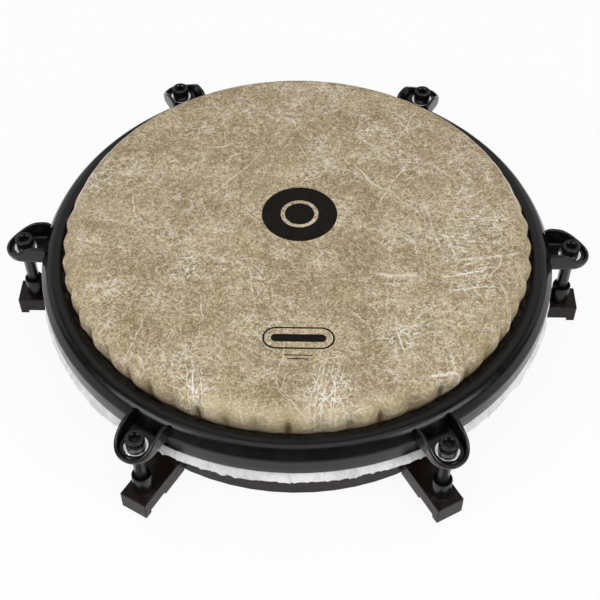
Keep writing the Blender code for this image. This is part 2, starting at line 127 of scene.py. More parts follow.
# Ears
EAR_ROOT_HALF = 0.0134
EAR_T = 0.0022
EAR_WALL = 0.0022
EAR_TIP_WALL = 0.0028
EAR_HUMP_WALL = 0.0128
EAR_HUMP_AT = 0.0040
EAR_ROOT_WALL = 0.0105
EAR_LEAN = 0.90  # share of the shoulder's lean that the root of an ear follows
EAR_LEAN_REACH = 0.0090  # how far out from the rim that lean fades away
EAR_ROUND = 0.0040
EAR_LIP = 0.0008
EAR_BAND = 0.0014  # how far below its edge the outer wall is cut by a ring
EAR_FILLET = 0.0022
EAR_UNDER_IN = 0.0052  # how far inside its outline the flat underside begins
EAR_FLOOR = EAR_LOW + EAR_T
EAR_TIP_STEPS = 28
EAR_SIDE_STEPS = 12
EAR_ROOT_STEPS = 14
BOLT_OFFSET = LUG_R - RIM_R
BORE_R = 0.00425
BORE_EDGE = 0.0002
BORE_FACE_R = 0.0072  # a ring on the floor and the underside, round the bore

# Bolts, washers and sleeves
SHANK_R = 0.00395
SHANK_TIP = 0.0010
HEAD_H = 0.0080
HEAD_ROUND = 0.0011
HEAD_EDGE = 0.0003
HEX_HALF = 0.0030
SOCKET_DEPTH = 0.0050
SOCKET_POINT = 0.0009
SOCKET_CHAMFER = 0.0010
SOCKET_MOUTH_R = 0.0038
SOCKET_LIP = 0.0001
UNDER_FILLET = (0.0003, 0.0004)  # out and down, where the shank meets the head
WASHER_EDGE = 0.0004
SLEEVE_EDGE = 0.0006
MOUTH_R = 0.0051
MOUTH_EDGE = 0.0002
MOUTH_DEPTH = 0.0025
MOUTH_STEP = 0.0005
SMALL_STEPS = 48

# Camera, fitted to the bolts and the outlines in the photo
CAMERA_LENS = 71.31
CAMERA_SENSOR = 36.0
CAMERA_DOWN = 49.355  # degrees below level
CAMERA_TURN = math.radians(1.0655)
CAMERA_PLACE = (0.00206, -0.55433, 0.65300)

# Soft panels: name, place, the point they face, width, depth and how bright a mirror would show them
DRUM_MIDDLE = (0.0, 0.0, 0.05)
PANELS = (
    ("top_panel", (0.0, -0.62, 1.32), (0.0, -0.10, 0.0), 1.6, 0.9, 1.45),
    ("back_panel", (0.0, 1.20, 1.70), DRUM_MIDDLE, 2.4, 2.2, 0.54),
    ("back_left_panel", (-1.15, 0.80, 0.60), DRUM_MIDDLE, 1.3, 0.9, 0.75),
    ("back_right_panel", (1.15, 0.80, 0.60), DRUM_MIDDLE, 1.3, 0.9, 0.75),
    ("left_panel", (-1.25, -0.85, 0.95), DRUM_MIDDLE, 0.9, 0.9, 4.6),
    ("right_panel", (1.25, -0.85, 0.95), DRUM_MIDDLE, 0.9, 0.9, 4.6),
)
WORLD_LEVEL = 0.12  # plain white light from all round

# Floor: its size, and where and how much of it a camera or a reflection sees as plain white
FLOOR_R = 4.0
WHITE_NEAR = 0.48
WHITE_FAR = 0.80
WHITE_SHARE = 0.92


def smooth(share):
    share = min(1.0, max(0.0, share))
    return share * share * (3 - 2 * share)


def arc(centre, radius, start, end, steps):
    """Points of an arc in (r, z), from one angle in degrees to another."""
    turns = [math.radians(start + (end - start) * i / steps) for i in range(steps + 1)]
    return [(centre[0] + radius * math.cos(t), centre[1] + radius * math.sin(t)) for t in turns]


# Node helpers


def node(tree, kind, inputs=(), **settings):
    """A shader node; an input is linked where its value is a socket, and set otherwise."""
    made = tree.nodes.new(kind)
    for name, value in settings.items():
        setattr(made, name, value)
    for name, value in dict(inputs).items():
        if isinstance(value, bpy.types.NodeSocket):
            tree.links.new(value, made.inputs[name])
        else:
            made.inputs[name].default_value = value
    return made


def cloud(tree, at, scale, detail=2.0, rough=0.5, distortion=0.0):
    """Noise from 0 to 1 with that many waves to the metre."""
    inputs = {"Vector": at, "Scale": scale, "Detail": detail, "Roughness": rough, "Distortion": distortion}
    return node(tree, "ShaderNodeTexNoise", inputs).outputs["Fac"]


def span(tree, value, low, high, to_low=0.0, to_high=1.0):
    """A value carried smoothly from one range to another, and held at its ends."""
    inputs = {"Value": value, "From Min": low, "From Max": high, "To Min": to_low, "To Max": to_high}
    made = node(tree, "ShaderNodeMapRange", inputs, interpolation_type="SMOOTHSTEP")
    return made.outputs["Result"]


def maths(tree, operation, first, second=0.0):
    return node(tree, "ShaderNodeMath", {0: first, 1: second}, operation=operation).outputs[0]


def times(tree, first, second):
    return maths(tree, "MULTIPLY", first, second)


def vector(tree, operation, first, second=(0, 0, 0)):
    """A sum of vectors, which gives a vector or, for a distance, length or dot product, a number."""
    made = node(tree, "ShaderNodeVectorMath", {0: first, 1: second}, operation=operation)
    gives_number = operation in ("DISTANCE", "DOT_PRODUCT", "LENGTH")
    return made.outputs["Value" if gives_number else "Vector"]


def blend(tree, share, first, second):
    """From one colour to another."""
    colours = [c if isinstance(c, bpy.types.NodeSocket) else (*c, 1.0) for c in (first, second)]
    inputs = {0: share, 6: colours[0], 7: colours[1]}
    return node(tree, "ShaderNodeMix", inputs, data_type="RGBA").outputs[2]


def moved(tree, at, offset, scale=(1, 1, 1)):
    inputs = {"Vector": at, "Location": offset, "Scale": scale}
    return node(tree, "ShaderNodeMapping", inputs).outputs["Vector"]


def bump(tree, height, distance, normal=None):
    inputs = {"Height": height, "Distance": distance, "Strength": 1.0}
    if normal is not None:
        inputs["Normal"] = normal
    return node(tree, "ShaderNodeBump", inputs).outputs["Normal"]


def wobbled(tree, at, scale, amount):
    """The place on the surface, pushed about by noise."""
    push = node(tree, "ShaderNodeTexNoise", {"Vector": at, "Scale": scale, "Detail": 2.0}).outputs["Color"]
    centred = vector(tree, "SUBTRACT", push, (0.5, 0.5, 0.5))
    return vector(tree, "ADD", at, vector(tree, "MULTIPLY", centred, (amount, amount, amount)))


def new_look(name):
    look = bpy.data.materials.new(name)
    look.use_nodes = True
    tree = look.node_tree
    at = node(tree, "ShaderNodeTexCoord").outputs["Object"]
    return look, tree, tree.nodes["Principled BSDF"], at


def finish_look(tree, shader, **inputs):
    """Gives a shader its inputs, which are named with an underscore for each space."""
    for name, value in inputs.items():
        socket = shader.inputs[name.replace("_", " ")]
        if isinstance(value, bpy.types.NodeSocket):
            tree.links.new(value, socket)
        else:
            socket.default_value = value


# Looks


def fibre_lines(tree, at, scale, width, wander, keep):
    """Long thin curved fibres: the level lines of a slow noise, broken up by another."""
    slow = cloud(tree, wobbled(tree, at, scale * 4, wander), scale, 0.6)
    off = maths(tree, "ABSOLUTE", maths(tree, "SUBTRACT", slow, 0.5))
    line = span(tree, off, 0.0, width, 1.0, 0.0)
    part = span(tree, cloud(tree, at, scale * 1.9, 1.0), keep, keep + 0.06)
    return times(tree, line, part)


def web_lines(tree, at, scale, width):
    """A crinkled web: the borders of pushed-about cells."""
    where = wobbled(tree, wobbled(tree, at, scale * 0.4, 0.9 / scale), scale * 1.8, 0.7 / scale)
    inputs = {"Vector": where, "Scale": scale}
    edge = node(tree, "ShaderNodeTexVoronoi", inputs, feature="DISTANCE_TO_EDGE").outputs["Distance"]
    return span(tree, edge, 0.0, width, 1.0, 0.0)


# Short fibres of the film: waves to the metre, width of the line and how much of it is left out
FLUFF = ((44, 0.012, 0.46), (70, 0.019, 0.45), (110, 0.028, 0.44), (170, 0.038, 0.44))
# Long fibres: waves to the metre, width, how far they wander and how much is left out
LONG_FIBRES = (
    (9, 0.0022, 0.010, 0.50),
    (14, 0.0032, 0.006, 0.52),
    (21, 0.0042, 0.006, 0.54),
    (30, 0.0060, 0.004, 0.54),
)
# Places on the film with white, crackled fibres: x, y and how far they reach
WHITE_PLACES = (
    (0.024, -0.140, 0.028),
    (-0.060, -0.138, 0.022),
    (0.068, -0.092, 0.022),
    (0.106, -0.012, 0.024),
    (0.112, -0.045, 0.028),
    (0.100, -0.125, 0.030),
    (0.128, 0.004, 0.022),
    (0.050, 0.093, 0.016),
    (-0.137, 0.036, 0.016),
    (-0.072, -0.045, 0.020),
)
# Long strands, listed one by one: from x, y to x, y, and half their width
STRANDS = (
    (-0.105, -0.122, -0.092, -0.082, 0.0008),
    (0.085, 0.022, 0.094, -0.022, 0.0013),
    (0.076, 0.062, 0.052, 0.013, 0.0009),
    (0.093, 0.060, 0.108, 0.045, 0.0008),
    (0.128, -0.048, 0.136, -0.072, 0.0008),
    (0.136, -0.070, 0.132, -0.094, 0.0008),
    (0.106, -0.032, 0.148, -0.024, 0.0014),
    (0.092, -0.047, 0.122, -0.040, 0.0011),
    (0.094, -0.058, 0.128, -0.054, 0.0007),
    (-0.026, 0.068, -0.060, 0.022, 0.0008),
    (0.017, -0.116, 0.009, -0.162, 0.0005),
    (0.020, -0.112, 0.012, -0.164, 0.0006),
    (0.022, -0.116, 0.016, -0.166, 0.0004),
    (0.026, -0.110, 0.014, -0.166, 0.0006),
    (0.028, -0.114, 0.021, -0.164, 0.0004),
    (0.031, -0.118, 0.022, -0.160, 0.0005),
    (0.022, -0.122, 0.034, -0.158, 0.0004),
    (0.010, -0.126, 0.030, -0.160, 0.0005),
    (0.036, -0.126, 0.014, -0.152, 0.0005),
    (0.020, -0.152, 0.048, -0.145, 0.0005),
    (-0.066, -0.116, -0.058, -0.154, 0.0005),
    (-0.056, -0.118, -0.050, -0.152, 0.0005),
    (0.098, -0.006, 0.104, -0.030, 0.0006),
    (0.100, 0.006, 0.138, 0.004, 0.0005),
    (0.100, -0.014, 0.134, -0.016, 0.0005),
    (0.096, -0.066, 0.124, -0.074, 0.0005),
    (-0.062, -0.112, -0.056, -0.150, 0.0009),
    (0.034, -0.074, 0.050, -0.094, 0.0008),
    (-0.030, -0.040, -0.025, -0.080, 0.0007),
    (-0.114, 0.032, -0.106, 0.004, 0.0008),
    (0.062, -0.085, 0.070, -0.124, 0.0009),
    (0.062, -0.094, 0.086, -0.082, 0.0009),
    (-0.030, -0.148, -0.027, -0.168, 0.0008),
    (-0.060, -0.062, -0.056, -0.088, 0.0007),
    (0.070, -0.128, 0.118, -0.116, 0.0009),
    (-0.004, 0.080, 0.012, 0.052, 0.0006),
    (0.050, -0.030, 0.078, -0.048, 0.0006),
)
# Places with a ruddy tint: x, y and how far they reach
RUDDY_PLACES = ((0.108, 0.078, 0.060), (-0.010, 0.125, 0.040), (0.046, -0.128, 0.026))

# Tones of the film: its ground, what lies on it from dark to bright, its edges (with a painted highlight,
# painted light and painted shade among them) and its print
GROUND_TONES = ((0.315, 0.230, 0.112), (0.510, 0.405, 0.240))
RUDDY = (0.400, 0.275, 0.175)
WISP_DARK = (0.255, 0.185, 0.096)
WISP_LIGHT = (0.670, 0.575, 0.405)
GRAIN_DARK = (0.205, 0.138, 0.062)
GRAIN_LIGHT = (0.790, 0.700, 0.510)
SPECK_LIGHT = (0.820, 0.735, 0.550)
FLUFF_LIGHT = (0.830, 0.750, 0.600)
WEB_LIGHT = (0.880, 0.820, 0.710)
FIBRE_LIGHT = (0.860, 0.790, 0.670)
FIBRE_BRIGHT = (0.940, 0.920, 0.860)
SHOULDER_TONE = (0.440, 0.350, 0.180)
# Painted highlight: a pale line along the film's shoulder at the back
BACK_HIGHLIGHT_TONE = (0.880, 0.820, 0.700)
# Painted light: a paler tone that brightens the shoulder at the front
FRONT_LIGHT_TONE = (0.780, 0.670, 0.440)
# Painted shade: the dark brown laid in the folds between the pleats and at the foot of the collar
FOLD_SHADE_TONE = (0.095, 0.060, 0.014)
PRINT_BLACK = (0.0030, 0.0030, 0.0034)

# Bands of the film, by distance from its middle: where each begins and ends
SHOULDER_BAND = (0.1450, 0.1560)
# Where the painted highlight on the shoulder lies
BACK_HIGHLIGHT_IN = (0.1494, 0.1504)
BACK_HIGHLIGHT_OUT = (0.1510, 0.1522)
FRONT_BAND = (0.1470, 0.1525)
FRONT_Y = (-0.152, -0.130)
BEHIND_Y = (0.0, 0.03)

# Print: a disc with a ring left out, and a badge with a bar inside it and two below it
DISC = (0.0016, 0.0082)
DISC_R = 0.0253
RING_IN_R = 0.00995
RING_OUT_R = 0.01265
DISC_EDGE = 0.00015
BADGE = (0.0030, -0.0985)
BADGE_HALF = (0.0223, 0.0086)
BADGE_LINE = 0.0012
BAR_IN = (0.0052, 0.0056)  # how far inside the badge its bar lies, along and across
BARS_BELOW = ((0.0133, 0.0090), (0.0161, 0.0062))  # how far below its middle, and half their length
BAR_HALF = 0.0004
BADGE_EDGE = 0.00012


def flattened(tree, at):
    """The place on the film with its height left out."""
    return vector(tree, "MULTIPLY", at, (1, 1, 0))


def spot(tree, at, x, y, inner, outer):
    """1 within a distance of a place on the film and 0 beyond another."""
    far = vector(tree, "DISTANCE", flattened(tree, at), (x, y, 0))
    return span(tree, far, inner, outer, 1.0, 0.0)


def strand(tree, at, x0, y0, x1, y1, half):
    """A soft line from one place on the film to another, fading at its ends."""
    run = math.hypot(x1 - x0, y1 - y0)
    along = ((x1 - x0) / run, (y1 - y0) / run, 0)
    across = (-along[1], along[0], 0)
    put = vector(tree, "SUBTRACT", at, ((x0 + x1) / 2, (y0 + y1) / 2, 0))
    ways = [maths(tree, "ABSOLUTE", vector(tree, "DOT_PRODUCT", put, way)) for way in (along, across)]
    end = span(tree, ways[0], 0.32 * run, 0.52 * run, 1.0, 0.0)
    return times(tree, end, span(tree, ways[1], 0.0, half, 1.0, 0.0))


def most(tree, values):
    """The greatest of some values."""
    top = values[0]
    for value in values[1:]:
        top = maths(tree, "MAXIMUM", top, value)
    return top


def pill(tree, at, x, y, half_x, half_y):
    """1 inside a flat shape with round ends on the film."""
    put = vector(tree, "SUBTRACT", at, (x, y, 0))
    parts = node(tree, "ShaderNodeSeparateXYZ", {0: put})
    along = maths(tree, "SUBTRACT", maths(tree, "ABSOLUTE", parts.outputs[0]), half_x - half_y)
    along = maths(tree, "MAXIMUM", along, 0.0)
    both = node(tree, "ShaderNodeCombineXYZ", {0: along, 1: parts.outputs[1]}).outputs[0]
    return span(tree, vector(tree, "LENGTH", both), half_y - BADGE_EDGE, half_y + BADGE_EDGE, 1.0, 0.0)


def film_marks(tree, at):
    """Plain printed marks: a disc with a ring left out, and a badge of an outline and bars."""
    whole, ring_out, ring_in = [
        spot(tree, at, *DISC, r - DISC_EDGE, r + DISC_EDGE) for r in (DISC_R, RING_OUT_R, RING_IN_R)
    ]
    disc = maths(tree, "SUBTRACT", whole, maths(tree, "SUBTRACT", ring_out, ring_in))
    x, y = BADGE
    half_x, half_y = BADGE_HALF
    badge = maths(
        tree,
        "SUBTRACT",
        pill(tree, at, x, y, half_x, half_y),
        pill(tree, at, x, y, half_x - BADGE_LINE, half_y - BADGE_LINE),
    )
    inner = pill(tree, at, x, y, half_x - BAR_IN[0], half_y - BAR_IN[1])
    bars = [pill(tree, at, x, y - low, half, BAR_HALF) for low, half in BARS_BELOW]
    return most(tree, [disc, badge, inner, *bars])


def film_ground(tree, at, grain, wisps):
    """The film's colour under its fibres: broad changes, a ruddy tint, wisps, grain and specks."""
    broad = cloud(tree, at, 34, 3.0, 0.6, 0.3)
    tint = cloud(tree, moved(tree, at, (3.1, 1.7, 0.4)), 46, 2.0, 0.55)
    specks = cloud(tree, moved(tree, at, (0.7, 0.2, 1.9)), 1150, 2.0, 0.6)
    ruddy = most(tree, [spot(tree, at, x, y, 0.2 * reach, reach) for x, y, reach in RUDDY_PLACES])
    ruddy = maths(tree, "MAXIMUM", times(tree, ruddy, 0.75), span(tree, tint, 0.52, 0.72, 0.0, 0.6))
    colour = blend(tree, span(tree, broad, 0.36, 0.64), *GROUND_TONES)
    for share, tone in (
        (ruddy, RUDDY),
        (span(tree, wisps, 0.46, 0.66, 0.0, 0.80), WISP_LIGHT),
        (span(tree, wisps, 0.28, 0.46, 0.45, 0.0), WISP_DARK),
        (span(tree, grain, 0.36, 0.54, 0.76, 0.0), GRAIN_DARK),
        (span(tree, grain, 0.54, 0.70, 0.0, 0.56), GRAIN_LIGHT),
        (span(tree, specks, 0.36, 0.49, 0.66, 0.0), GRAIN_DARK),
        (span(tree, specks, 0.54, 0.66, 0.0, 0.50), SPECK_LIGHT),
    ):
        colour = blend(tree, share, colour, tone)
    return colour


def film_fluff(tree, at):
    """Short fibres of four sizes."""
    fluff = [
        fibre_lines(tree, moved(tree, at, (n, 2 * n, 0)), scale, width, 0.004, keep)
        for n, (scale, width, keep) in enumerate(FLUFF)
    ]
    return most(tree, fluff)


def film_webs(tree, at):
    """A fine and a wide crinkled web, stretched across the film and broken up."""
    break_up = span(tree, cloud(tree, at, 420, 2.0), 0.38, 0.58)
    fine = web_lines(tree, moved(tree, at, (0, 0, 0), (0.6, 1, 1)), 190, 0.060)
    wide = web_lines(tree, moved(tree, at, (1, 2, 0), (0.6, 1, 1)), 80, 0.035)
    return times(tree, fine, break_up), times(tree, wide, break_up)


def film_long_fibres(tree, at):
    lines = [
        fibre_lines(tree, moved(tree, at, (1.3 * n, 2.9 - n, 0.7 * n)), *long_fibres)
        for n, long_fibres in enumerate(LONG_FIBRES)
    ]
    return times(tree, most(tree, lines), 0.75)


def film_strands(tree, at):
    """The listed strands, pushed about by noise and thinned by another."""
    loose = wobbled(tree, wobbled(tree, at, 34, 0.007), 260, 0.0020)
    strands = most(tree, [strand(tree, loose, *place) for place in STRANDS])
    return times(tree, strands, span(tree, cloud(tree, at, 260, 2.0), 0.34, 0.62, 0.25, 1.0))


def film_edges(tree, at, colour, wisps):
    """A duller shoulder, a painted highlight along the shoulder behind, painted light on the front and
    painted shade in the folds between the pleats.
    """
    out = vector(tree, "LENGTH", flattened(tree, at))
    side = node(tree, "ShaderNodeSeparateXYZ", {0: at}).outputs[1]
    colour = blend(tree, span(tree, out, *SHOULDER_BAND, 0.0, 0.20), colour, SHOULDER_TONE)
    # Painted highlight along the shoulder, at the back only
    back_highlight = times(tree, span(tree, out, *BACK_HIGHLIGHT_IN), span(tree, out, *BACK_HIGHLIGHT_OUT, 1.0, 0.0))
    behind = span(tree, side, *BEHIND_Y, 0.0, 0.60)
    colour = blend(tree, times(tree, back_highlight, behind), colour, BACK_HIGHLIGHT_TONE)
    # Painted light on the front of the shoulder
    front = times(tree, span(tree, out, *FRONT_BAND), span(tree, side, *FRONT_Y, 0.28, 0.0))
    colour = blend(tree, front, colour, FRONT_LIGHT_TONE)
    # Painted shade in the folds and at the foot of the collar, read from the fold attribute
    fold = node(tree, "ShaderNodeAttribute", attribute_name="fold").outputs["Fac"]
    ragged = maths(tree, "ADD", fold, times(tree, maths(tree, "SUBTRACT", wisps, 0.5), 1.4))
    ragged = times(tree, ragged, span(tree, fold, 0.02, 0.40))
    return blend(tree, span(tree, ragged, 0.05, 1.05, 0.0, 0.93), colour, FOLD_SHADE_TONE)


def make_film_look():
    """A fibrous film: white crackled places, fluff, webs, fibres and strands over a brown ground."""
    look, tree, shader, at = new_look("film_fibre")
    grain = cloud(tree, wobbled(tree, at, 260, 0.0030), 560, 3.0, 0.68)
    wisps = cloud(tree, wobbled(tree, at, 90, 0.010), 210, 4.0, 0.72, 0.8)
    white = most(tree, [spot(tree, at, x, y, 0.1 * reach, reach) for x, y, reach in WHITE_PLACES])
    patches = span(tree, cloud(tree, moved(tree, at, (5.0, 2.0, 1.0)), 38, 2.0), 0.44, 0.62, 0.15, 0.95)
    webbed = maths(tree, "MAXIMUM", white, patches)
    fluff = times(tree, film_fluff(tree, at), webbed)
    fine, wide = film_webs(tree, at)
    web = times(tree, maths(tree, "MAXIMUM", fine, wide), webbed)
    strands = film_strands(tree, at)
    lines = maths(tree, "MAXIMUM", film_long_fibres(tree, at), strands)
    strong = times(tree, white, maths(tree, "MAXIMUM", fine, strands))
    marks = film_marks(tree, at)

    colour = film_ground(tree, at, grain, wisps)
    for mask, share, tone in (
        (fluff, 0.62, FLUFF_LIGHT),
        (web, 0.64, WEB_LIGHT),
        (lines, 0.85, FIBRE_LIGHT),
        (strong, 0.90, FIBRE_BRIGHT),
    ):
        colour = blend(tree, times(tree, mask, share), colour, tone)
    colour = film_edges(tree, at, colour, wisps)
    colour = blend(tree, times(tree, marks, 0.985), colour, PRINT_BLACK)

    height = maths(tree, "ADD", times(tree, grain, 0.6), times(tree, web, 0.5))
    height = maths(tree, "ADD", height, times(tree, lines, 0.5))
    rough = span(tree, wisps, 0.35, 0.65, 0.50, 0.64)
    level = span(tree, marks, 0.0, 1.0, 0.35, 0.10)
    normal = bump(tree, height, 0.00010)
    finish_look(
        tree, shader, Base_Color=colour, Roughness=rough, Normal=normal, Specular_IOR_Level=level, IOR=1.45
    )
    return look


def make_skirt_look(name, light, grey):
    """Pale film seen from its back: clouded, with upright streaks and a web of fibres."""
    look, tree, shader, at = new_look(name)
    streaks = cloud(tree, moved(tree, at, (0, 0, 0), (1, 1, 0.18)), 230, 3.0, 0.6, 0.4)
    clouds = cloud(tree, at, 55, 3.0, 0.6)
    fibres = web_lines(tree, moved(tree, at, (2, 1, 0), (1, 1, 0.4)), 130, 0.05)
    colour = blend(tree, span(tree, clouds, 0.34, 0.62), grey, light)
    colour = blend(tree, span(tree, streaks, 0.30, 0.50, 0.55, 0.0), colour, [0.72 * c for c in grey])
    colour = blend(tree, times(tree, fibres, 0.35), colour, (0.88, 0.88, 0.86))
    rough = span(tree, clouds, 0.3, 0.7, 0.42, 0.60)
    normal = bump(tree, maths(tree, "ADD", streaks, times(tree, fibres, 0.4)), 0.00012)
    finish_look(tree, shader, Base_Color=colour, Roughness=rough, Normal=normal)
    depth = (0.004, 0.004, 0.004)
    finish_look(tree, shader, Subsurface_Weight=0.12, Subsurface_Radius=depth, Subsurface_Scale=1.0)
    return look


# Worn paint, dust, and the specular level of every metal
PAINT_WORN = (0.045, 0.043, 0.042)
DUST = (0.05, 0.048, 0.045)
METAL_LEVEL = 0.3


def make_paint(name, dark, light, rough, gloss_level, grain=0.0):
    """Black paint: slow changes of tone and gloss, a fine orange peel, dust and worn edges."""
    look, tree, shader, at = new_look(name)
    tone = cloud(tree, at, 28, 3.0, 0.6)
    rub = cloud(tree, moved(tree, at, (2.2, 0.3, 1.1)), 95, 4.0, 0.65)
    fine = cloud(tree, at, 620, 2.0, 0.5)
    dust = cloud(tree, moved(tree, at, (0.4, 3.3, 0.9)), 1700, 2.0, 0.6)
    colour = blend(tree, span(tree, tone, 0.32, 0.68), dark, light)
    edge = node(tree, "ShaderNodeNewGeometry").outputs["Pointiness"]
    wear = times(tree, span(tree, edge, 0.53, 0.62), span(tree, rub, 0.50, 0.66))
    colour = blend(tree, times(tree, wear, 0.55), colour, PAINT_WORN)
    colour = blend(tree, span(tree, dust, 0.62, 0.78, 0.0, 0.20), colour, DUST)
    gloss = span(tree, rub, 0.30, 0.70, rough - 0.05, rough + 0.07)
    normal = bump(tree, fine, 0.000006)
    if grain:
        normal = bump(tree, cloud(tree, at, 1500, 2.0, 0.6), grain, normal)
    finish_look(
        tree, shader, Base_Color=colour, Roughness=gloss, Normal=normal, Specular_IOR_Level=gloss_level
    )
    return look


def make_metal(name, colour, worn, rough, metallic, turned_marks):
    """Bare or blackened metal with fine turning marks and small scratches."""
    look, tree, shader, at = new_look(name)
    tone = cloud(tree, at, 160, 3.0, 0.6)
    scratches = cloud(tree, moved(tree, at, (0, 0, 0), (1, 1, 7)), 520, 3.0, 0.7, 0.6)
    edge = node(tree, "ShaderNodeNewGeometry").outputs["Pointiness"]
    wear = times(tree, span(tree, edge, 0.52, 0.60), span(tree, tone, 0.42, 0.60))
    shade = blend(tree, span(tree, tone, 0.3, 0.7), [0.8 * c for c in colour], [1.15 * c for c in colour])
    shade = blend(tree, times(tree, wear, 0.6), shade, worn)
    gloss = span(tree, scratches, 0.35, 0.70, rough, rough + 0.12)
    normal = bump(tree, scratches, turned_marks)
    finish_look(tree, shader, Base_Color=shade, Roughness=gloss, Normal=normal)
    finish_look(tree, shader, Metallic=metallic, Specular_IOR_Level=METAL_LEVEL)
    return look


# Meshes


def turned(name, profile, steps, shape=None, closed=True, back=()):
    """A profile in (r, z) turned about Z. shape may move each point, and back gives the second look."""
    form = bmesh.new()
    rows = []
    for step in range(steps):
        turn = 2 * math.pi * step / steps
        row = []
        for at, (r, z) in enumerate(profile):
            if shape:
                r, z = shape(r, z, turn, at)
            row.append(form.verts.new((r * math.cos(turn), r * math.sin(turn), z)))
        rows.append(row)
    count = len(profile)
    for step in range(steps):
        here, there = rows[step], rows[(step + 1) % steps]
        for at in range(count if closed else count - 1):
            after = (at + 1) % count
            face = form.faces.new((here[at], there[at], there[after], here[after]))
            face.material_index = 1 if at in back else 0
    return finished(name, form)


def finished(name, form):
    """A mesh of a form with its doubled points joined, smooth but for its sharp edges."""
    bmesh.ops.remove_doubles(form, verts=form.verts, dist=WELD)
    bmesh.ops.recalc_face_normals(form, faces=form.faces)
    mesh = bpy.data.meshes.new(name)
    form.to_mesh(mesh)
    form.free()
    mesh.shade_smooth()
    mesh.set_sharp_from_angle(angle=SHARP)
    return mesh


def add(name, mesh, looks, body, slot, *nodes):
    """A finished piece that rides on a body and stands for its CAD nodes."""
    piece = bpy.data.objects.new(name, mesh)
    bpy.context.scene.collection.objects.link(piece)
    for look in looks:
        mesh.materials.append(look)
    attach(piece, body)
    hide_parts(*nodes)
    return piece


def at_lug(mesh, name, turn):
    """A copy of a mesh drawn round the first bolt axis, carried to another lug."""
    made = mesh.copy()
    made.name = name
    made.transform(Matrix.Rotation(turn, 4, "Z") @ Matrix.Translation((LUG_R, 0, 0)))
    return made


def pleat_phase(turn):
    """Half turns from fold to fold, with the pleats unevenly spread and leaning."""
    drift = sum(size * math.sin(waves * turn + start) for waves, start, size in PLEAT_DRIFT)
    phase = PLEATS * turn / 2 + drift
    return phase + 0.28 * math.sin(2 * phase)


def pleat_depth(turn):
    """Share of the full depth of the pleats: deepest at the front and the sides, and slight at the back."""
    uneven = 0.80 + 0.20 * math.sin(7 * turn + 1.0) * math.sin(12 * turn + 0.3)
    return uneven * (0.18 + 0.82 * smooth((0.30 - math.sin(turn)) / 0.45))


def pleat_ridge(turn):
    """0 in the fold between two pleats and up to 1 on the blunt point of a pleat."""
    share = pleat_phase(turn) / math.pi % 1.0
    point = 1 - abs(2 * share - 1)
    return point ** 1.25 * pleat_depth(turn)


def film_shape(r, z, turn, at):
    """Pleats that start on the shoulder, deepen down the collar and end under the hoop."""
    if not SHOULDER_R < r < COLLAR_R + WELD or z < WRAP_LOW + PLEAT_END:
        return r, z
    ridge = pleat_ridge(turn)
    late = ((r - SHOULDER_R) / (COLLAR_R - SHOULDER_R)) ** PLEAT_LATE
    fade = PLEAT_KEPT + (1 - PLEAT_KEPT) * smooth((z - HOOP_TOP) / PLEAT_FADE)
    return r + (PLEAT_DEPTH * ridge - PLEAT_BASE) * late * fade, z - PLEAT_SAG * late * (1 - ridge)


def mark_fold_shade(mesh):
    """Writes how much painted shade each point of the film gets, from 0 to 1: in the folds between the
    pleats and low on the collar.
    """
    folds = mesh.attributes.new("fold", "FLOAT", "POINT")
    for vertex, value in zip(mesh.vertices, folds.data):
        r = math.hypot(vertex.co.x, vertex.co.y)
        turn = math.atan2(vertex.co.y, vertex.co.x)
        down = (FILM_TOP - vertex.co.z) / (FILM_TOP - HOOP_TOP)
        cell = math.floor(pleat_phase(turn) / math.pi + 0.5)
        # Painted shade in the folds between the pleats, deeper down the collar
        strength = 0.60 + 0.30 * math.sin(2.3 * (cell % PLEATS))
        valley = strength * smooth(1.05 - 2.1 * pleat_ridge(turn)) * smooth((down - 0.30) / 0.55)
        # Painted shade low on the collar, where it goes down into the gap under the rim
        bottom = smooth((down - 0.94) / 0.25)
        value.value = smooth((r - SHOULDER_R - 0.002) / 0.004) * max(valley, bottom)


def make_film(look, back_look):
    """The film's outside, from its middle to the hoop's side, and then its inside, back to the middle."""
    outer = COLLAR_R - SHOULDER_R
    centre = (SHOULDER_R, FILM_TOP - outer)
    low = WRAP_LOW + FILM_T
    collar_top = centre[1] - COLLAR_START
    collar = [collar_top - (collar_top - low) * i / COLLAR_STEPS for i in range(COLLAR_STEPS + 1)]
    outside = [
        *[(r, FILM_TOP) for r in FILM_RINGS],
        *arc(centre, outer, 90, 0, SHOULDER_STEPS),
        *[(COLLAR_R, z) for z in collar],
        (HOOP_SIDE_R, low),
        (HOOP_SIDE_R, HOOP_TOP),
    ]
    inside = [
        (WRAP_R, HOOP_TOP),
        (WRAP_R, WRAP_LOW + WRAP_EDGE),
        (WRAP_R - WRAP_EDGE, WRAP_LOW),
        (COLLAR_R - FILM_T, WRAP_LOW),
        *[(COLLAR_R - FILM_T, z) for z in reversed(collar)],
        *arc(centre, outer - FILM_T, 0, 90, SHOULDER_STEPS),
        *[(r, FILM_TOP - FILM_T) for r in reversed(FILM_RINGS)],
    ]
    profile = outside + inside
    back = set(range(len(outside) + 2, len(profile)))
    mesh = turned("head_film", profile, PLEATS * PLEAT_STEPS, film_shape, closed=False, back=back)
    mark_fold_shade(mesh)
    return add("head_film", mesh, [look, back_look], "frame", "film", "drumhead")


def hem_noise(turn, scale, seed, size):
    """Noise that runs round the hem and meets itself."""
    return size * noise.noise((math.cos(turn) * scale, math.sin(turn) * scale, seed))


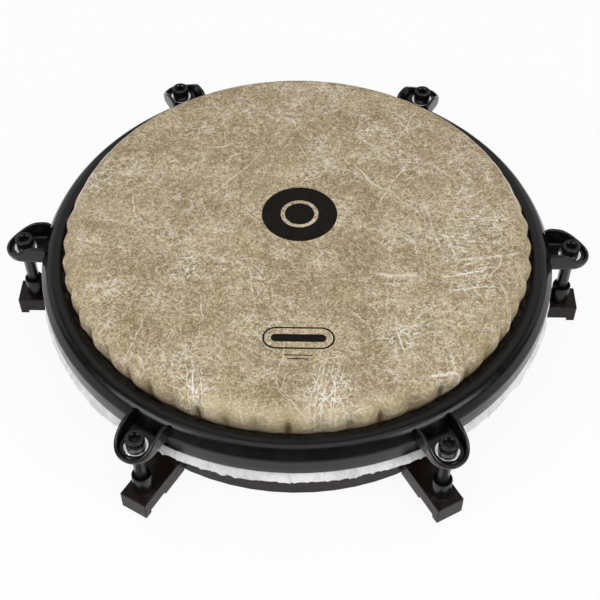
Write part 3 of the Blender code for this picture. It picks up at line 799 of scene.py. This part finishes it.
def hem_teeth(turn):
    """Small torn points of uneven size round the hem, each steep on one side."""
    teeth = 0.0
    for count, shift, reach, wide in HEM_TEETH:
        place = count * turn / (2 * math.pi) + 0.33 * math.sin(3 * turn + shift) + shift
        cell = math.floor(place)
        offset = 0.5 + 0.3 * math.sin(12.9 * (cell % count) + shift)
        side = 1 if math.sin(5.1 * (cell % count) + shift) > 0 else -1
        off = side * (place - cell - offset) / wide
        size = 0.62 + 0.38 * math.sin(7.7 * (cell % count) + 2 * shift)
        teeth += reach * size * max(0.0, 1 - off if off >= 0 else 1 + 5 * off)
    return teeth


def skirt_shape(r, z, turn, at):
    """Waves, creases and a torn hem for the part of the sheet that hangs below the rim."""
    loose = max(0.0, (RIM_BOTTOM - z) / SKIRT_DROP)
    if loose <= 0:
        return r, z
    wave = sum(hem_noise(turn, *layer) for layer in HEM_WAVES)
    crease = abs(hem_noise(turn, *FINE_CREASES)) + hem_noise(turn, *FINE_WAVES)
    torn = sum(hem_noise(turn, *layer) for layer in HEM_TEARS)
    cut = HEM_RISE - torn - hem_teeth(turn)
    return r + wave * loose * 1.6 + crease * smooth(loose * 2), z + cut * loose * loose


def make_skirt(look):
    """The film's tail: up under the rim, over its lower edge, and thinning down to the hem."""
    lip = RIM_R - RIM_T - GAP
    hem = RIM_R + HEM_OUT
    outer = [(SKIRT_IN_R + SKIRT_T, TAIL_TOP), (lip, RIM_BOTTOM + RIM_T), (lip, RIM_BOTTOM)]
    thickness = [SKIRT_T] * len(outer)
    for i in range(1, SKIRT_ROWS + 1):
        share = i / SKIRT_ROWS
        outer.append((lip + (hem - lip) * share ** 0.87, RIM_BOTTOM - SKIRT_DROP * share))
        thickness.append(SKIRT_T * (1 - 0.45 * share))
    inner = [(r - thick, z) for (r, z), thick in reversed(list(zip(outer, thickness)))]
    mesh = turned("head_skirt", outer + inner, SKIRT_STEPS, skirt_shape)
    return add("head_skirt", mesh, [look], "frame", "film_tail", "head_tail")


def make_rim(look):
    """A rim with a flat top face, a shoulder that leans back, and an upright wall round its foot."""
    half = RIM_T / 2
    lean = math.radians(RIM_LEAN)
    round_z = RIM_TOP - RIM_ROUND
    start_z = round_z + RIM_ROUND * math.sin(lean)
    start_r = RIM_R - (start_z - RIM_FOOT) * RIM_SLOPE
    centre = (start_r - RIM_ROUND * math.cos(lean), round_z)
    flat_r = (LIP_R + centre[0]) / 2 + FLAT_IN
    profile = [
        *arc((LIP_R + half, RIM_TOP - RIM_CROWN - half), half, 270, 90, 8),
        (LIP_R + LIP_RISE, RIM_TOP - 0.3 * RIM_CROWN),
        (flat_r, RIM_TOP),
        *arc(centre, RIM_ROUND, 90, RIM_LEAN, 10),
        *[(RIM_R - up * RIM_SLOPE, RIM_FOOT + up) for up in FOOT_POINTS],
        *[(RIM_R, RIM_FOOT - down) for down in reversed(FOOT_POINTS)],
        (RIM_R, RIM_BOTTOM + WALL_RING),
        *arc((RIM_R - half, RIM_BOTTOM + half), half, 0, -180, 10),
        (RIM_R - RIM_T, RIM_FOOT - RIM_T * HALF_SLOPE),
        *arc(centre, RIM_ROUND - RIM_T, RIM_LEAN, 90, 3),
        (flat_r, RIM_TOP - RIM_T),
    ]
    mesh = turned("rim_steel", profile, RIM_STEPS)
    return add("rim_steel", mesh, [look], "rim", "rim_paint", "tension_rim")


def crown_height(out):
    """Height of an ear's turned-up edge above its floor, at a distance out from the rim."""
    if out < EAR_HUMP_AT:
        share = max(0.0, out) / EAR_HUMP_AT
        return EAR_ROOT_WALL + (EAR_HUMP_WALL - EAR_ROOT_WALL) * math.sin(share * math.pi / 2)
    share = min(1.0, (out - EAR_HUMP_AT) / (BOLT_OFFSET + EAR_R - EAR_HUMP_AT))
    ease = (1 - math.cos(share * math.pi)) / 2
    return EAR_HUMP_WALL + (EAR_TIP_WALL - EAR_HUMP_WALL) * ease


def ear_walk(shrink):
    """Points round an ear drawn in by a margin, with whether each is along the rim; x is out."""
    half = EAR_ROOT_HALF - shrink
    lean = math.degrees(math.atan2(EAR_ROOT_HALF - EAR_R, BOLT_OFFSET))
    tip = arc((0.0, 0.0), EAR_R - shrink, -90 + lean, 90 - lean, EAR_TIP_STEPS)
    near = RIM_R + GAP

    def root(y):
        return (math.sqrt(near * near - y * y) - LUG_R, y)

    def between(first, last, share):
        return (first[0] + (last[0] - first[0]) * share, first[1] + (last[1] - first[1]) * share)

    walk = [between(root(-half), tip[0], i / EAR_SIDE_STEPS) for i in range(EAR_SIDE_STEPS)]
    walk += tip
    walk += [between(tip[-1], root(half), (i + 1) / EAR_SIDE_STEPS) for i in range(EAR_SIDE_STEPS)]
    turns = [math.pi * (i + 1) / (EAR_ROOT_STEPS + 1) for i in range(EAR_ROOT_STEPS)]
    along = [root(half * math.cos(turn)) for turn in turns]
    return [(x, y, False) for x, y in walk] + [(x, y, True) for x, y in along]


def tucked(x, z):
    """Carries the root of an ear a little way in over the shoulder of the rim, which leans back."""
    lean_in = EAR_LEAN * max(0.0, z - RIM_FOOT - GAP * HALF_SLOPE) * RIM_SLOPE
    return x - lean_in * (1 - smooth((x + BOLT_OFFSET) / EAR_LEAN_REACH))


def ear_ring(form, shrink, level, drop):
    """One ring of an ear: at a level, or where drop is given, that far below the turned-up edge."""
    ring = []
    for x, y, rim_side in ear_walk(shrink):
        z = level
        if drop is not None:
            wall = max(0.0, crown_height(x + BOLT_OFFSET) - drop)
            if rim_side:
                wall *= max(0.0, 1 - (EAR_ROOT_HALF - abs(y)) / EAR_WALL)
            z = max(level, EAR_FLOOR + wall)
        ring.append(form.verts.new((tucked(x, z), y, z)))
    return ring


def quarter(steps):
    """The sine and cosine of the angles of a quarter turn."""
    turns = [math.radians(90 * i / steps) for i in range(steps + 1)]
    return [(math.sin(turn), math.cos(turn)) for turn in turns]


def hole_ring(form, outline, radius, z):
    """A ring round the bore, with a point for each point of the outline."""
    turns = [math.atan2(y, x) for x, y, _ in outline]
    return [form.verts.new((radius * math.cos(t), radius * math.sin(t), z)) for t in turns]


def make_ear_mesh():
    """A stamped cup: rounded under-edge, outer wall, rounded lip, inner wall, fillet, floor and bore."""
    form = bmesh.new()
    rings = [ear_ring(form, EAR_UNDER_IN, EAR_LOW, None)]
    for sine, cosine in quarter(6):
        rings.append(ear_ring(form, EAR_ROUND * (1 - sine), EAR_LOW + EAR_ROUND * (1 - cosine), None))
    rings.append(ear_ring(form, 0.0, EAR_LOW + EAR_ROUND, EAR_BAND))
    for sine, cosine in quarter(4):
        rings.append(ear_ring(form, EAR_LIP * (1 - cosine), EAR_FLOOR, EAR_LIP * (1 - sine)))
    for sine, cosine in quarter(4):
        rings.append(ear_ring(form, EAR_WALL - EAR_LIP * (1 - sine), EAR_FLOOR, EAR_LIP * (1 - cosine)))
    for sine, cosine in quarter(5):
        ring = []
        for x, y, rim_side in ear_walk(EAR_WALL + EAR_FILLET * (1 - cosine)):
            rise = 0.0 if rim_side else EAR_FILLET * (1 - sine)
            ring.append(form.verts.new((x, y, EAR_FLOOR + rise)))
        rings.append(ring)
    outline = ear_walk(EAR_WALL + EAR_FILLET)
    for radius, z in (
        (BORE_FACE_R, EAR_FLOOR),
        (BORE_R + BORE_EDGE, EAR_FLOOR),
        (BORE_R, EAR_FLOOR - BORE_EDGE),
        (BORE_R, EAR_LOW + BORE_EDGE),
        (BORE_R + BORE_EDGE, EAR_LOW),
        (BORE_FACE_R, EAR_LOW),
    ):
        rings.append(hole_ring(form, outline, radius, z))
    for here, there in zip(rings, rings[1:] + rings[:1]):
        count = len(here)
        for i in range(count):
            after = (i + 1) % count
            form.faces.new((here[i], here[after], there[after], there[i]))
    return finished("ear_cup", form)


def bolt_shape(r, z, turn, at):
    """Makes the points of the profile down in the socket six-sided."""
    if at not in (1, 2):
        return r, z
    side = math.radians(60)
    return r / math.cos((turn + side / 2) % side - side / 2), z


def make_bolt_mesh():
    """A socket-head screw: drilled hexagon, rounded head, plain shank and chamfered tip."""
    top = BOLT_HIGH.z
    low = BOLT_LOW.z
    under = top - HEAD_H
    head_r = (BOLT_HIGH.x - BOLT_LOW.x) / 2
    profile = [
        (0.0, top - SOCKET_DEPTH - SOCKET_POINT),
        (HEX_HALF, top - SOCKET_DEPTH),
        (HEX_HALF, top - SOCKET_CHAMFER),
        (SOCKET_MOUTH_R, top - HEAD_EDGE),
        (SOCKET_MOUTH_R + SOCKET_LIP, top),
        *arc((head_r - HEAD_ROUND, top - HEAD_ROUND), HEAD_ROUND, 90, 0, 6),
        *arc((head_r - HEAD_EDGE, under + HEAD_EDGE), HEAD_EDGE, 0, -90, 2),
        (SHANK_R + UNDER_FILLET[0], under),
        (SHANK_R, under - UNDER_FILLET[1]),
        (SHANK_R, low + SHANK_TIP),
        (SHANK_R - SHANK_TIP, low),
        (0.0, low),
    ]
    return turned("socket_bolt", profile, SMALL_STEPS, bolt_shape, closed=False)


def make_washer_mesh():
    low, high = WASHER_LOW.z, WASHER_HIGH.z
    out = (WASHER_HIGH.x - WASHER_LOW.x) / 2
    edge = WASHER_EDGE
    profile = [
        (BORE_R, high),
        *arc((out - edge, high - edge), edge, 90, 0, 4),
        *arc((out - edge, low + edge), edge, 0, -90, 4),
        (BORE_R, low),
    ]
    return turned("plain_washer", profile, SMALL_STEPS)


def make_sleeve_mesh():
    low, high = SLEEVE_LOW.z, SLEEVE_HIGH.z
    out = (SLEEVE_HIGH.x - SLEEVE_LOW.x) / 2
    edge = SLEEVE_EDGE
    profile = [
        (MOUTH_R, high - MOUTH_EDGE),
        (MOUTH_R + MOUTH_EDGE, high),
        *arc((out - edge, high - edge), edge, 90, 0, 4),
        *arc((out - edge / 2, low + edge / 2), edge / 2, 0, -90, 2),
        (BORE_R, low),
        (BORE_R, high - MOUTH_DEPTH - MOUTH_STEP),
        (MOUTH_R, high - MOUTH_DEPTH),
    ]
    return turned("arm_sleeve", profile, SMALL_STEPS)


def dress(look, *names):
    """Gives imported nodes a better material."""
    for name in names:
        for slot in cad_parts[name].material_slots:
            slot.material = look


def numbered(name):
    return [f"{name}_{n + 1}" for n in range(LUGS)]


# Stage


def make_floor():
    """A matt floor that a camera, reflection or refraction sees as nearly plain white near the drum."""
    mesh = bpy.data.meshes.new("floor")
    form = bmesh.new()
    bmesh.ops.create_circle(form, cap_ends=True, segments=96, radius=FLOOR_R)
    form.to_mesh(mesh)
    form.free()
    floor = bpy.data.objects.new("floor", mesh)
    bpy.context.scene.collection.objects.link(floor)
    floor.location.z = -0.0002
    look = bpy.data.materials.new("floor_white")
    look.use_nodes = True
    tree = look.node_tree
    shader = tree.nodes["Principled BSDF"]
    finish_look(tree, shader, Base_Color=(0.90, 0.90, 0.90, 1.0), Roughness=0.9, Specular_IOR_Level=0.1)
    glow = node(tree, "ShaderNodeEmission", {"Color": (1, 1, 1, 1), "Strength": 1.0})
    at = node(tree, "ShaderNodeTexCoord").outputs["Object"]
    share = span(tree, vector(tree, "LENGTH", at), WHITE_NEAR, WHITE_FAR, WHITE_SHARE, 0.0)
    seen = node(tree, "ShaderNodeMixShader", {0: share, 1: shader.outputs[0], 2: glow.outputs[0]})
    ray = node(tree, "ShaderNodeLightPath")
    kinds = ("Is Camera Ray", "Is Glossy Ray", "Is Transmission Ray")
    plain = most(tree, [ray.outputs[kind] for kind in kinds])
    both = node(tree, "ShaderNodeMixShader", {0: plain, 1: shader.outputs[0], 2: seen.outputs[0]})
    tree.links.new(both.outputs[0], tree.nodes["Material Output"].inputs["Surface"])
    mesh.materials.append(look)


def make_lamp(name, place, target, wide, deep, brightness):
    """A soft panel; brightness is what a mirror would show of it, with 1 as white."""
    light = bpy.data.lights.new(name, "AREA")
    light.shape = "RECTANGLE"
    light.size = wide
    light.size_y = deep
    light.energy = brightness * math.pi * wide * deep
    lamp = bpy.data.objects.new(name, light)
    bpy.context.scene.collection.objects.link(lamp)
    lamp.location = place
    lamp.rotation_euler = (Vector(target) - Vector(place)).to_track_quat("-Z", "Y").to_euler()
    lamp.visible_camera = False


def make_light():
    for panel in PANELS:
        make_lamp(*panel)
    world = bpy.data.worlds.new("studio")
    bpy.context.scene.world = world
    world.use_nodes = True
    background = world.node_tree.nodes["Background"]
    background.inputs["Color"].default_value = (1.0, 1.0, 1.0, 1.0)
    background.inputs["Strength"].default_value = WORLD_LEVEL


def make_camera():
    data = bpy.data.cameras.new("photo_camera")
    data.lens = CAMERA_LENS
    data.sensor_width = CAMERA_SENSOR
    data.clip_start = 0.01
    camera = bpy.data.objects.new("photo_camera", data)
    bpy.context.scene.collection.objects.link(camera)
    camera.location = Matrix.Rotation(CAMERA_TURN, 3, "Z") @ Vector(CAMERA_PLACE)
    camera.rotation_euler = (math.radians(90 - CAMERA_DOWN), 0.0, CAMERA_TURN)
    bpy.context.scene.camera = camera


def main():
    make_camera()
    make_floor()
    make_light()
    bpy.context.scene.view_settings.view_transform = "Standard"

    film = make_film_look()
    skirt = make_skirt_look("film_hem", (0.90, 0.90, 0.885), (0.72, 0.72, 0.71))
    film_back = make_skirt_look("film_back", (0.66, 0.63, 0.56), (0.48, 0.45, 0.39))
    rim = make_paint("rim_gloss", (0.0022, 0.0022, 0.0025), (0.0040, 0.0040, 0.0044), 0.22, 0.32)
    ear = make_paint("ear_gloss", (0.0030, 0.0030, 0.0032), (0.0050, 0.0050, 0.0053), 0.22, 0.38)
    steel = make_paint(
        "frame_satin", (0.0095, 0.0052, 0.0038), (0.0145, 0.0076, 0.0055), 0.38, 0.22, grain=0.000010
    )
    sleeve = make_paint("sleeve_satin", (0.0050, 0.0050, 0.0052), (0.008, 0.008, 0.0085), 0.24, 0.30)
    shell = make_paint("shell_lacquer_black", (0.030, 0.025, 0.020), (0.050, 0.042, 0.035), 0.42, 0.50)
    bolt = make_metal("bolt_black", (0.034, 0.034, 0.035), (0.20, 0.195, 0.19), 0.24, 0.75, 0.000004)
    chrome = make_metal("washer_bright", (0.78, 0.78, 0.79), (0.9, 0.9, 0.9), 0.10, 1.0, 0.000002)
    zinc = make_metal("screw_bright", (0.50, 0.50, 0.51), (0.7, 0.7, 0.7), 0.30, 1.0, 0.000004)
    hoop = make_metal("hoop_dark", (0.012, 0.010, 0.008), (0.05, 0.045, 0.04), 0.45, 0.9, 0.000004)

    dress(steel, "base_ring", *numbered("arm"))
    dress(shell, "shell")
    dress(zinc, *numbered("shell_screw"))
    dress(hoop, "flesh_hoop")

    make_film(film, film_back)
    make_skirt(skirt)
    make_rim(rim)
    small = (
        ("ear_cup", make_ear_mesh(), ear, "rim", "ear_paint", "rim_ear"),
        ("plain_washer", make_washer_mesh(), chrome, "rim", "washer_chrome", "washer"),
        ("socket_bolt", make_bolt_mesh(), bolt, "bolt", "black_oxide", "tuning_bolt"),
        ("arm_sleeve", make_sleeve_mesh(), sleeve, "frame", "sleeve_paint", "threaded_sleeve"),
    )
    for name, mesh, look, body, slot, stood_for in small:
        for n, turn in enumerate(TURNS, start=1):
            rides = f"bolt_{n}" if body == "bolt" else body
            add(f"{name}_{n}", at_lug(mesh, f"{name}_{n}", turn), [look], rides, slot, f"{stood_for}_{n}")


main()
